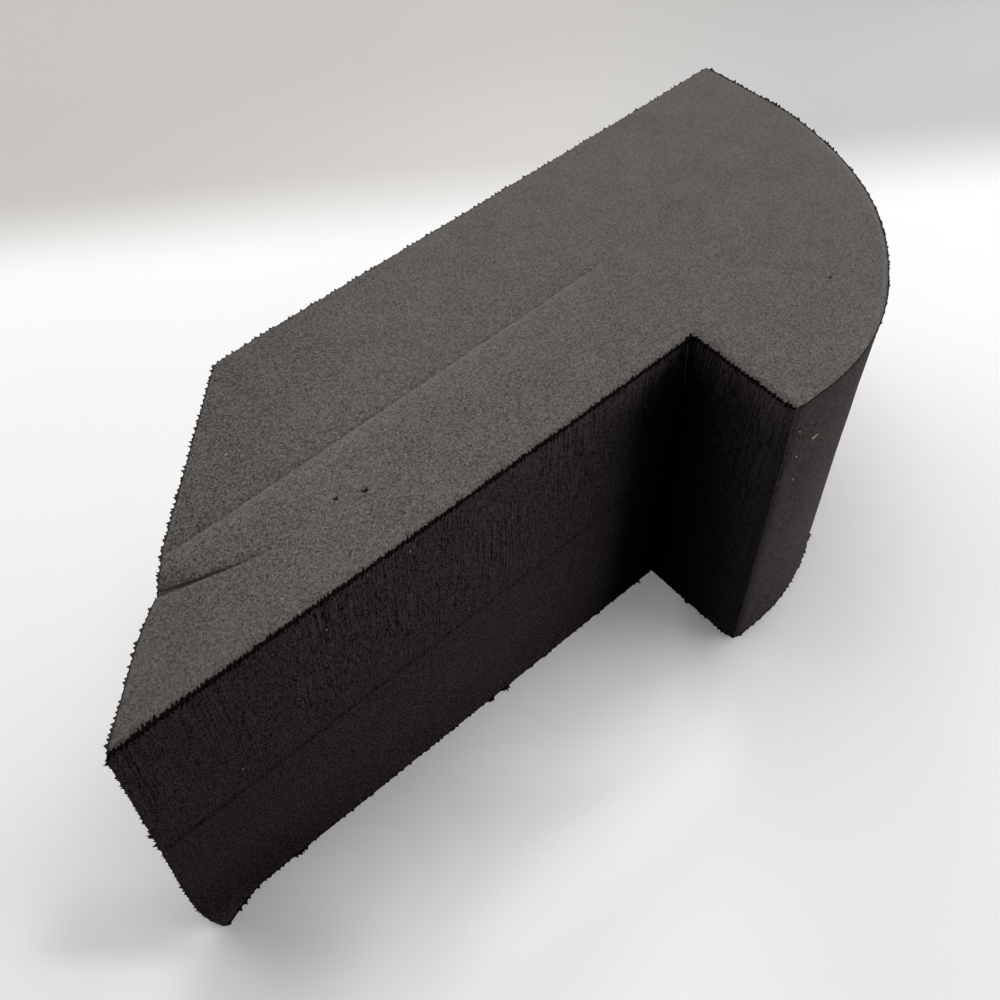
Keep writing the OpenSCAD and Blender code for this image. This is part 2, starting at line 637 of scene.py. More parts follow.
@dataclass(frozen=True)
class SawnOutline:
    """The outline that both sheets are sawn to.

    It is laid out from the sharp front tip. The bar runs along +X between its front face at y = 0
    and its back, the slanted end climbs from the tip to the back, and the head steps forward
    of the front face on the right, where one corner is rounded.
    """

    length: float
    depth: float
    step_depth: float = 31.5
    head_length: float = 78.5
    head_radius: float = 71.0
    slant_run: float = 70.0

    @property
    def bar_width(self) -> float:
        """The bar's width, from front face to back."""
        return self.depth - self.step_depth

    @property
    def face_length(self) -> float:
        """The length of the long front face, from the tip to the step."""
        return self.length - self.head_length

    @property
    def head_centre(self) -> Array:
        """The centre of the head's rounded corner."""
        return np.array([self.length - self.head_radius, self.head_radius - self.step_depth])

    @property
    def end_normal(self) -> Array:
        """The outward unit vector of the slanted end."""
        across = np.array([-self.bar_width, self.slant_run])
        return across / np.linalg.norm(across)

    def end_x(self, y: Array) -> Array:
        """Where the slanted end lies at distance y from the front face."""
        return y * self.slant_run / self.bar_width

    def _arc(self, angle: Array) -> Array:
        """Points on the rounded corner, from 0 at its front end to a quarter turn at its side end."""
        return self.head_centre + self.head_radius * np.stack([np.sin(angle), -np.cos(angle)], axis=-1)

    def front_of_head(self, share: Array) -> Array:
        """The head's front, a short straight run and then an eighth of a turn, at an even pace.

        Args:
            share: The shares of the way from the step's outer corner to the middle of the arc.

        Returns:
            The points there.
        """
        straight = self.head_length - self.head_radius
        way = share * (straight + self.head_radius * math.pi / 4)
        start = np.array([self.face_length, -self.step_depth])
        on_line = start + np.stack([np.minimum(way, straight), np.zeros_like(way)], axis=-1)
        on_arc = self._arc(np.maximum(way - straight, 0) / self.head_radius)
        return np.where((way < straight)[..., None], on_line, on_arc)

    def side_of_head(self, share: Array) -> Array:
        """The head's side, an eighth of a turn and then a straight run, at an even pace.

        Args:
            share: The shares of the way from the middle of the arc to the back corner.

        Returns:
            The points there.
        """
        curved = self.head_radius * math.pi / 4
        way = share * (self.depth - self.head_radius + curved)
        angle = np.minimum(way / self.head_radius, math.pi / 4) + math.pi / 4
        rise = np.maximum(way - curved, 0)
        return self._arc(angle) + np.stack([np.zeros_like(rise), rise], axis=-1)


class CapGrid:
    """A flat grid over the whole outline: a patch over the bar and one over the head.

    The bar's patch is bilinear: its lines across join the slanted end to the step's line. The
    head's patch is a Coons patch of four sides: the step's line, the front up to the middle of the
    arc, the rest of the arc with the side, and the back. The two share the line at the step, so
    the whole cap is one sheet of quads, and its rim runs once round the outline.
    """

    def __init__(
        self, outline: SawnOutline, along_bar: Array, across_bar: Array, across_step: Array, along_head: Array
    ) -> None:
        """Lays out the grid.

        Args:
            outline: The outline it fills.
            along_bar: Lines along the bar, as distances along the front face.
            across_bar: Lines across the bar, as distances from the front face.
            across_step: Lines across the step, from its outer corner to the front face.
            along_head: Lines along the head, as distances from the step's line.
        """
        face = outline.face_length
        end = outline.end_x(across_bar)
        bar_x = end + (along_bar / face)[:, None] * (face - end)
        bar = np.stack([bar_x, np.broadcast_to(across_bar, bar_x.shape)], axis=-1)

        left_y = np.concatenate([across_step[:-1], across_bar])
        a = (along_head / outline.head_length)[:, None, None]
        b = ((left_y + outline.step_depth) / outline.depth)[None, :, None]
        left = np.stack([np.full_like(left_y, face), left_y], axis=-1)[None]
        right = outline.side_of_head(b[0, :, 0])[None]
        front = outline.front_of_head(a[:, 0, 0])[:, None]
        back_y = np.full_like(along_head, outline.bar_width)
        back = np.stack([face + along_head, back_y], axis=-1)[:, None]
        sides = (1 - a) * left + a * right + (1 - b) * front + b * back
        corners = (1 - a) * ((1 - b) * left[:, :1] + b * left[:, -1:])
        corners = corners + a * ((1 - b) * right[:, :1] + b * right[:, -1:])
        head = sides - corners

        bar_ids = np.arange(bar_x.size).reshape(bar_x.shape)
        head_ids = np.zeros(head.shape[:2], int)
        steps = len(across_step) - 1
        fresh = np.ones(head_ids.shape, bool)
        fresh[0, steps:] = False
        head_ids[fresh] = bar_x.size + np.arange(fresh.sum())
        head_ids[0, steps:] = bar_ids[-1]

        self.points = np.concatenate([bar.reshape(-1, 2), head[fresh]])
        self.quads = np.concatenate([quads_between(bar_ids.T), quads_between(head_ids.T)])
        self.rim = np.concatenate([
            bar_ids[:-1, 0], head_ids[0, steps:0:-1], head_ids[:-1, 0], head_ids[-1, :-1],
            head_ids[:0:-1, -1], bar_ids[:0:-1, -1], bar_ids[0, :0:-1],
        ])


# ---------------------------------------------------------------- wear


@dataclass(frozen=True)
class Fold:
    """A fold line in the top skin, laid out from the sharp front tip.

    Across the fold the skin dips by exponentials of the distance: one soft shoulder on the front
    side, and a steep step with a soft tail behind it. The line bends by an even curve on its way,
    and the dip shrinks with the share of its length that is left.
    """

    start: tuple[float, float]
    heading: float
    length: float
    depth: float
    front_shoulder: float
    step: float
    tail: float
    bend: float = 0.0
    step_share: float = 0.6
    fade: float = 1.0
    # The tone fields are painted light and shade: a painted highlight in front of the fold and on its crest,
    # painted shade behind it, and a painted shade line in its crease.
    front_highlight: float = 0.0
    crest_highlight: float = 0.0
    shade_behind: float = 0.1
    shade_behind_width: float = 2.5
    line: float = 0.1
    line_width: float = 0.3

    def _laid_along(self, x: Array | Signal, y: Array | Signal) -> tuple[Array | Signal, Array | Signal]:
        """Places as distances along the fold's heading and to the left of it.

        Args:
            x: The distance along the bar from the sharp front tip.
            y: The distance from the long front face.

        Returns:
            The distance along and the distance aside.
        """
        turn = math.radians(self.heading)
        dx, dy = x - self.start[0], y - self.start[1]
        return dx * math.cos(turn) + dy * math.sin(turn), dy * math.cos(turn) - dx * math.sin(turn)

    def dip(self, x: Array, y: Array) -> Array:
        """How far the skin lies below the flat.

        Args:
            x: The distance along the bar from the sharp front tip.
            y: The distance from the long front face.

        Returns:
            The depth at each place.
        """
        along, aside = self._laid_along(x, y)
        share = np.clip(along / self.length, 0, 1)
        aside = aside - self.bend * 4 * share * (1 - share)
        left = (1 - share) ** self.fade * fading(-along, 6)
        front = fading(-aside, self.front_shoulder)
        behind = self.step_share * fading(aside, self.step) + (1 - self.step_share) * fading(aside, self.tail)
        return left * self.depth * np.where(aside < 0, front, behind)

    def shade(self, x: Signal, y: Signal) -> Signal:
        """The painted highlight in front of the fold, and the painted shade behind it and in its crease.

        Args:
            x: The distance along the bar from the sharp front tip.
            y: The distance from the long front face.

        Returns:
            The change of the skin's tone: positive is paler.
        """
        along, aside = self._laid_along(x, y)
        along = along / self.length
        share = along.larger(0.0).smaller(1.0)
        aside = aside - share * (1.0 - share) * (self.bend * 4)
        left = (1.0 - share) ** self.fade * (along.smaller(0.0) * (self.length / 5)).exp()
        behind = aside.ramp(-0.1, 0.1)
        ahead = aside.smaller(0.0)
        # Painted highlight in front and on the crest, painted shade behind and in the crease line.
        front = (ahead / 5).exp() * self.front_highlight + (ahead / 0.7).exp() * (share * 1.5 + 0.5) * self.crest_highlight
        back = (aside.larger(0.0) / -self.shade_behind_width).exp() * self.shade_behind
        line = abs(aside / self.line_width - 0.3).ramp(0.65, 0.3) * self.line
        return left * (front * (1.0 - behind) - back * behind - line)


@dataclass(frozen=True)
class Pit:
    """An open pit: burst cells whose near wall lies in its own shade, so it reads as a crescent."""

    place: tuple[float, float, float]
    radius: float
    strength: float = 1.0

    def darkness(self, graph: ShaderGraph, place: Socket) -> Signal:
        """How dark each place is: inside one circle, but outside another that lies behind it.

        Args:
            graph: The graph to build in.
            place: The point on the surface.

        Returns:
            0 on the open skin and up to the pit's strength inside it.
        """
        x, y, z = self.place
        behind = (x + self.radius * 0.15, y + self.radius * 0.9, z)
        gap, gap_behind = (graph.distance(place, centre) for centre in (self.place, behind))
        inside = gap.ramp(self.radius * 1.15, self.radius * 0.8)
        return inside * gap_behind.ramp(self.radius * 0.5, self.radius * 0.9) * self.strength


@dataclass
class Wear:
    """What use and the saw have done to the sharp outline, as one displacement of every point.

    All its methods take points that are laid out from the sharp front tip.
    """

    outline: SawnOutline
    top: float
    folds: Sequence[Fold]
    pinch_start: float = 23.3
    pinch_depth: float = 1.25
    pinch_lip: float = 0.38
    drift: float = 0.86
    overhang: float = 0.35
    foot_shift: float = 3.2
    foot_nip: float = 2.0
    foot_flare: float = 3.4
    foot_length: float = 15.7
    bow: float = 0.31
    tip_flare: float = 0.25
    back_lean: float = 0.18
    bulge: float = 0.8
    swell: float = 0.30
    roll: float = 0.75
    unevenness: float = 0.05

    def _folded(self, p: Array) -> Array:
        """The drop of the folds, which dies away below the top skin."""
        return sum(fold.dip(p[:, 0], p[:, 1]) for fold in self.folds) * fading(self.top - p[:, 2], 4)

    def _pinched(self, p: Array) -> Array:
        """How far the slanted end is pinched in where the short fold meets it.

        Towards the tip the pinch falls off as a rounded shoulder, towards the back as a straight
        one, and inwards and downwards it dies away exponentially.

        Args:
            p: The points.

        Returns:
            The distance at each, against the end's outward normal.
        """
        aside, deep = p[:, 1] - self.pinch_start, self.top - p[:, 2]
        shoulder = np.clip(1 + aside / 11, 0, 1) ** 2.2
        slope = np.clip(1 - aside / 7.5, 0, 1)
        pinch = self.pinch_depth * np.where(aside < 0, shoulder, slope) * fading(deep, 22)
        inwards = -(p[:, :2] @ self.outline.end_normal)
        return fading(inwards, 7) * (pinch + self.pinch_lip * fading(deep, 3))

    def _blunted(self, p: Array) -> Array:
        """The step by which the upright edges are blunted, each as a bell curve of the distance from it.

        The edge at the back of the slanted end is barely blunted, the step's outer edge is well
        rounded and the head's back edge leans in over a wider stretch. These steps lead into the
        block. The end of the rounded corner's turn stands out a little instead.

        Args:
            p: The points.

        Returns:
            The step in x and y at each.
        """
        line = self.outline
        edges = (  # the edge, the step's direction and size there, and the bell's width
            ((line.slant_run, line.bar_width), (0.38, -0.92), 0.25, 1.0),
            ((line.face_length, -line.step_depth), (0.71, 0.71), 0.8, 2.0),
            ((line.length, line.bar_width), (-1.0, 0.15), 1.05, 10.5),
            ((line.length, line.head_centre[1] + 1), (1.0, 0.0), 0.45, 8.0),
        )
        steps = np.zeros((len(p), 2))
        for corner, into, amount, width in edges:
            near = bell(np.linalg.norm(p[:, :2] - np.array(corner), axis=1), width)
            steps += amount * near[:, None] * np.array(into)
        return steps

    def _bulged(self, p: Array) -> Array:
        """The step by which the rounded corner swells, dying inwards.

        One half sine wave covers the first 36 degrees of its turn; it is largest at the top,
        smaller at the foot and nearly gone at half the height. A slighter one covers the whole turn.

        Args:
            p: The points.

        Returns:
            The step in x and y at each.
        """
        spoke = p[:, :2] - self.outline.head_centre
        reach = np.linalg.norm(spoke, axis=1)
        turn = np.degrees(np.arctan2(spoke[:, 0], -spoke[:, 1]))
        half = 2 * p[:, 2] / self.top - 1
        first = np.sin(np.pi * np.clip(turn / 36, 0, 1)) * (0.15 + 0.85 * half**2)
        first *= np.where(half < 0, 0.4, 1.0)
        whole = np.sin(np.pi * np.clip(turn / 100, 0, 1))
        swelling = (self.bulge * first + self.swell * whole) * fading(self.outline.head_radius - reach, 8)
        return (swelling / np.maximum(reach, 1))[:, None] * spoke

    def _rolled(self, p: Array) -> Array:
        """How far the skin rolls down over the front, step, head and back edges.

        The roll is a bell curve of the distance. Round the head it grows from the step towards
        the side and shrinks again along the side.

        Args:
            p: The points.

        Returns:
            The drop at each.
        """
        line = self.outline
        x, y, z = p.T
        centre_x, centre_y = line.head_centre
        inner = np.hypot(np.maximum(x - line.face_length, 0), np.maximum(y, 0))
        from_rim = line.head_radius - np.hypot(x - centre_x, np.maximum(centre_y - y, 0))
        outer = np.where(x > centre_x, from_rim, y + line.step_depth)
        share = np.interp(x - centre_x, [17, 31], [0.25, 0.9])
        share = share * (1 - 0.75 * np.clip((y - centre_y) / 14 + 1, 0, 1))
        rolls = [bell(inner, 0.7), share * bell(outer, 0.8), 0.4 * bell(line.bar_width - y, 0.6)]
        return self.roll * np.max(rolls, axis=0) * fading(self.top - z, 2.5)

    def applied(self, p: Array) -> Array:
        """The worn places of points.

        Besides the dents above, the front face leans and the bar's back edge draws in. At the
        sharp tip the upright edge bows, its foot shifts along and the front's foot flares out.

        Args:
            p: The points.

        Returns:
            Their places on the worn block.
        """
        worn = p.copy()
        x, y, z = p.T
        deep, share = self.top - z, z / self.top
        worn[:, 2] -= self._folded(p) + self._rolled(p)
        worn[:, :2] += self._blunted(p) + self._bulged(p)
        worn[:, :2] -= self._pinched(p)[:, None] * self.outline.end_normal
        on_front = fading(y, 18) * fading(x - self.outline.face_length, 6) * (y > -1)
        worn[:, 1] += (self.drift * (1 - share) ** 2 - self.overhang * share) * on_front
        shift = self.foot_shift * fading(z, 10.8) + self.foot_nip * fading(z, 1.7)
        shift += self.bow * np.sin(np.pi * share) - self.tip_flare * share**4
        worn[:, 0] += shift * fading(np.hypot(x, y), 12)
        lip = np.clip(1 - x / self.foot_length, 0, 1) ** 1.13 * fading(y, 14)
        worn[:, 1] -= self.foot_flare * lip * fading(z, 3.6)
        worn[:, 1] -= self.back_lean * fading(self.outline.bar_width - y, 4) * fading(deep, 3)
        rise = (0.7 * ripple(p, 30, 3) + 0.3 * ripple(p, 12, 8)) * fading(deep, 12)
        worn += self.unevenness * np.column_stack([ripple(p, 20, 4), ripple(p, 20, 5), rise])
        return worn


# ---------------------------------------------------------------- the foam sheets


class Bond(Enum):
    """The side of a sheet that the other one is bonded to."""

    BELOW = "below"
    ABOVE = "above"


@dataclass
class FoamSheet:
    """One of the two sheets, as a closed surface: two caps and the sawn wall between their rims."""

    node: str
    slot: str
    bond: Bond
    outline: SawnOutline
    wear: Wear
    tip: Array
    cap: CapGrid
    groove: float = 0.15
    groove_width: float = 0.6
    comb: float = 0.04
    sharp: float = 55.0

    def __post_init__(self) -> None:
        """Reads the sheet's lowest and highest level from its construction."""
        self.low, self.high = (corner[2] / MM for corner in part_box(self.node))

    def _levels(self) -> Array:
        """The wall's grid lines, close together at the bond and at the skin.

        Returns:
            Their heights, from bottom to top.
        """
        near, far = 0.25, 1.35
        at_low, at_high = (near, 0.5) if self.bond is Bond.BELOW else (0.3, near)
        return graded((self.low, at_low), (self.low + 3, far), (self.high - 3, far), (self.high, at_high))

    def _inwards(self, run: Array, levels: Array) -> Array:
        """How far the saw and the bond draw the wall in.

        The bond's groove is a bell curve of the distance from it, shallow round the head. The saw
        has combed the wall by a random field that changes quickly along it and slowly up it.

        Args:
            run: The distance along the wall of each point.
            levels: The height of each point.

        Returns:
            The distance inwards at each point.
        """
        face = self.outline.face_length
        bond_level = self.low if self.bond is Bond.BELOW else self.high
        uneven = 0.75 + 0.35 * ripple(run[:, None], 5, 12)
        open_share = np.interp(run, [face, face + 18, face + 140, face + 160], [1, 0.2, 0.2, 1])
        teeth = ripple(np.column_stack([run, levels * 0.08]), 3.2, 11)
        groove = self.groove * bell(levels - bond_level, self.groove_width) * uneven * open_share
        return groove + self.comb * teeth

    def build(self) -> Piece:
        """Builds the sheet's mesh.

        A rim point is carried up the wall from level to level, drawn in along the wall's normal.
        Then the wear moves every point. The wall's surface coordinates are the distance along it
        and the height, and the caps' are x and y.

        Returns:
            The sheet, with slot 0 for its skin and slot 1 for its sawn wall.
        """
        levels = self._levels()
        flat, rim, quads = self.cap.points, self.cap.rim, self.cap.quads
        edge = flat[rim]
        onwards = np.roll(edge, -1, axis=0)
        tangent = onwards - np.roll(edge, 1, axis=0)
        normal = np.stack([tangent[:, 1], -tangent[:, 0]], axis=1)
        normal /= np.linalg.norm(normal, axis=1, keepdims=True)
        ends = np.append(0.0, np.cumsum(np.linalg.norm(onwards - edge, axis=1)))
        run = ends[:-1]

        count, around, inner = len(flat), len(rim), len(levels) - 2
        caps = [np.column_stack([flat, np.full(count, level)]) for level in (self.low, self.high)]
        wall = np.column_stack([np.tile(edge, (inner, 1)), np.repeat(levels[1:-1], around)])
        points = np.concatenate([*caps, wall])
        between = 2 * count + np.arange(inner * around).reshape(inner, around)
        rows = np.concatenate([rim[None], between, count + rim[None]])
        inwards = self._inwards(np.tile(run, len(levels)), np.repeat(levels, around))
        points[rows.ravel(), :2] -= np.tile(normal, (len(levels), 1)) * inwards[:, None]
        points = self.wear.applied(points) + self.tip

        self.top_edge, self.low_edge = points[rows[-1]], points[rows[0]]
        self.tip_edge = points[rows[:, 0]]
        self.edge_normal = np.column_stack([normal, np.zeros(around)])
        unrolled = np.stack(np.meshgrid(ends, levels), axis=-1)
        corners = quads_between(np.arange(unrolled[..., 0].size).reshape(unrolled.shape[:2]))
        faces = [quads[:, ::-1], quads + count, quads_between(np.append(rows, rows[:, :1], axis=1))]
        uv = [flat[quads[:, ::-1]], flat[quads], unrolled.reshape(-1, 2)[corners]]
        name = self.node.replace("_sheet", "_foam")
        piece = mesh_piece(name, points, faces, (0, 0, 1), [part.reshape(-1, 2) for part in uv])
        piece.data.set_sharp_from_angle(angle=math.radians(self.sharp))
        LOG.info("%s: %d faces", piece.name, len(piece.data.polygons))
        return piece

    def dress(self, piece: Piece, skin: Material, sawn: Material) -> None:
        """Gives the sheet its two materials, lets it ride on the block's body and hides the imported part
        that it replaces.

        Args:
            piece: The sheet's piece.
            skin: The material of its caps.
            sawn: The material of its wall.
        """
        fasten(piece, self.slot, skin, sawn)
        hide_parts(self.node)


# ---------------------------------------------------------------- burrs and crumbs


@dataclass(frozen=True)
class BurrStyle:
    """How the saw tore one kind of edge.

    lean is the angle of the teeth above the outward direction, reach how far they stand out,
    skirt how far the torn lip runs down the face, and spacing the usual gap between teeth. A
    tooth's two flanks have their own widths, so that teeth can lie over to one side. Along the
    stretch the lip shrinks evenly by the taper's share. With beading the lip runs down the face
    only below the teeth, and the slant shifts tips and lip along the edge, in opposite directions.
    """

    lean: float
    reach: float
    skirt: float
    spacing: float
    flanks: tuple[float, float]
    base: float = 0.15
    thickness: float = 0.25
    scatter: float = 0.4
    least: float = 0.3
    taper: float = 0.0
    beading: float = 0.0
    slant: float = 0.0


@dataclass
class SawBurr:
    """A torn lip along a stretch of edge: a thin ribbon with a ragged row of teeth."""

    name: str
    style: BurrStyle
    seed: int
    shreds: Sequence[tuple[float, float]] = ()
    step: float = 0.1

    def _teeth(self, run: Array) -> tuple[Array, Array, int]:
        """Sets the teeth along the edge.

        Each tooth rises as exp(-|distance / flank| ** 1.5) from its own place, with its own height
        and lean. The shreds are single teeth at given places, longer than the rest.

        Args:
            run: The distance along the edge of each section.

        Returns:
            The height and the lean of the teeth at each section, and their count.
        """
        style, rng = self.style, np.random.default_rng(self.seed)
        count = max(3, round(run[-1] / style.spacing))
        centre = np.arange(count) + 0.5 + rng.uniform(-style.scatter, style.scatter, count)
        centre *= run[-1] / count
        height = style.reach * rng.uniform(style.least, 1.0, count)
        if self.shreds:
            places, lengths = np.array(self.shreds).T
            centre, height = np.append(centre, places), np.append(height, lengths)
        wide = rng.uniform(0.7, 1.5, len(centre)) * np.where(height > style.reach, 1.5, 1.0)
        lean = math.radians(style.lean) + rng.normal(0, 0.3, len(centre))
        offset = run[:, None] - centre
        flank = np.where(offset < 0, *style.flanks) * wide
        shape = np.exp(-np.abs(offset / flank) ** 1.5)
        share = shape + 1e-6
        return (height * shape).max(axis=1), (lean * share).sum(axis=1) / share.sum(axis=1), len(centre)

    def build(self, path: Array, outward: Array, up: Array) -> Piece:
        """Carries the burr's section along the edge.

        The section is a ring of eight points: down the face, over the edge, out to the tip and
        back inside. The tip's distance from the edge is a rough base plus the height of the teeth.

        Args:
            path: The edge's points, in order.
            outward: The outward direction at each of them.
            up: The direction that leads away from the face, at a right angle to the outward one.

        Returns:
            The burr.
        """
        style = self.style
        travelled = np.append(0.0, np.cumsum(np.linalg.norm(np.diff(path, axis=0), axis=1)))
        run = np.arange(0.0, travelled[-1], self.step)
        edge, out = (
            np.column_stack([np.interp(run, travelled, part) for part in rows.T]) for rows in (path, outward)
        )
        out /= np.linalg.norm(out, axis=1, keepdims=True)
        tooth, angle, count = self._teeth(run)
        ends = np.clip(np.minimum(run, run[-1] - run) / 0.5, 0.35, 1)
        lasting = 1 - style.taper * run / run[-1]
        rough = ripple(run[:, None], 1.1, self.seed)
        ragged = ripple(run[:, None], 1.3, self.seed + 1)
        reach = (style.base * (0.7 + 0.5 * rough) * lasting + tooth) * ends
        under = 1 - style.beading * (1 - tooth / style.reach)
        skirt = style.skirt * (0.75 + 0.45 * ragged) * ends * under * (0.4 + 0.6 * lasting)
        cosine, sine = np.cos(angle)[:, None], np.sin(angle)[:, None]
        forwards = np.gradient(edge, axis=0) / self.step * style.slant
        way = out * cosine + up * sine + forwards
        down = -(up + forwards) * skirt[:, None]
        proud, inside = out * style.thickness * 0.6, -out * style.thickness * 0.8
        half = (up * cosine - out * sine) * (style.thickness * 0.4)
        middle = edge + way * (reach * 0.5)[:, None]
        ring = np.stack([
            edge + down, edge + proud + down * 0.5, edge + proud, middle - half,
            edge + way * reach[:, None], middle + half, edge + inside, edge + inside + down,
        ], axis=1)
        ids = np.arange(ring[..., 0].size).reshape(ring.shape[:2])
        sides = quads_between(np.append(ids, ids[:, :1], axis=1))
        piece = mesh_piece(self.name, ring.reshape(-1, 3), [sides, ids[:1], ids[-1:, ::-1]])
        turn_outwards(piece)
        LOG.info("%s: %d teeth", piece.name, count)
        return piece


@dataclass
class Crumbs:
    """Crumbs of pale foam dust: flattened lumps with a rough outline, half sunk in the surface."""

    name: str
    places: Sequence[tuple[Array, float]]
    rings: int = 5
    sides: int = 9
    seed: int = 7

    def build(self) -> Piece:
        """Builds all the crumbs as one piece.

        Each is a ball of rings between two poles, squashed to half its height, whose radius is
        varied by a random share at every vertex.

        Returns:
            The crumbs.
        """
        rng = np.random.default_rng(self.seed)
        polar = np.linspace(0, np.pi, self.rings + 2)[1:-1, None]
        around = np.arange(self.sides) / self.sides * 2 * np.pi
        ring = np.stack([
            np.sin(polar) * np.cos(around), np.sin(polar) * np.sin(around), np.cos(polar) + 0 * around,
        ], axis=-1).reshape(-1, 3)
        ball = np.concatenate([[[0.0, 0.0, 1.0]], ring, [[0.0, 0.0, -1.0]]])
        ids = 1 + np.arange(self.rings * self.sides).reshape(self.rings, self.sides)
        loop = np.append(ids, ids[:, :1], axis=1)
        top = np.stack([np.zeros(self.sides, int), loop[0, :-1], loop[0, 1:]], axis=1)
        foot = np.stack([np.full(self.sides, len(ball) - 1), loop[-1, 1:], loop[-1, :-1]], axis=1)
        parts = (quads_between(loop)[:, ::-1], np.concatenate([top, foot]))
        points = []
        for place, radius in self.places:
            rough = rng.uniform(0.6, 1.15, (len(ball), 1))
            stretch = np.array([rng.uniform(0.7, 1.3), rng.uniform(0.7, 1.3), 0.5])
            points.append(place + ball * rough * stretch * radius)
        firsts = range(0, len(points) * len(ball), len(ball))
        faces = [np.concatenate([part + first for first in firsts]) for part in parts]
        piece = mesh_piece(self.name, np.concatenate(points), faces)
        turn_outwards(piece)
        LOG.info("%s: %d", piece.name, len(points))
        return piece


# ---------------------------------------------------------------- the studio


def direction(turn: float, rise: float) -> Vector:
    """The unit vector with a bearing, from straight back (+Y) towards the head (+X), and an angle upwards."""
    turn, rise = math.radians(turn), math.radians(rise)
    return Vector((math.sin(turn) * math.cos(rise), math.cos(turn) * math.cos(rise), math.sin(rise)))


def grey(level: float) -> Colour:
    """A neutral colour."""
    return (level, level, level)


@dataclass(frozen=True)
class Camera:
    """A camera that looks down at the block from the front left."""

    aim: tuple[float, float, float] = (-1.0, 4.1, 50)
    heading: float = 41.70
    down: float = 53.50
    roll: float = -0.33
    distance: float = 333.9
    lens: float = 46.72

    def place(self) -> None:
        """Makes the scene's camera."""
        forward = direction(self.heading, -self.down)
        data = bpy.data.cameras.new("camera")
        data.lens, data.sensor_width = self.lens, 36.0
        data.clip_start, data.clip_end = 0.01, 10.0
        camera = linked("camera", data)
        rolled = Matrix.Rotation(math.radians(self.roll), 3, "Z").to_quaternion()
        camera.rotation_mode = "QUATERNION"
        camera.rotation_quaternion = forward.to_track_quat("-Z", "Y") @ rolled
        camera.location = (Vector(self.aim) - forward * self.distance) * MM
        bpy.context.scene.camera = camera


@dataclass(frozen=True)
class Lamp:
    """A soft round lamp that looks at the block.

    turn is its bearing in degrees, from straight in front (-Y) towards the head (+X), and rise its
    angle above the floor.
    """

    name: str
    turn: float
    rise: float
    power: float
    size: float = 950
    distance: float = 1200
    aim: tuple[float, float, float] = (0, 0, 50)

    def hang(self) -> None:
        """Makes the lamp."""
        away = direction(180 - self.turn, self.rise)
        data = bpy.data.lights.new(self.name, "AREA")
        data.shape, data.size, data.energy = "DISK", self.size * MM, self.power
        lamp = linked(self.name, data)
        lamp.location = (Vector(self.aim) + away * self.distance) * MM
        lamp.rotation_euler = (-away).to_track_quat("-Z", "Y").to_euler()


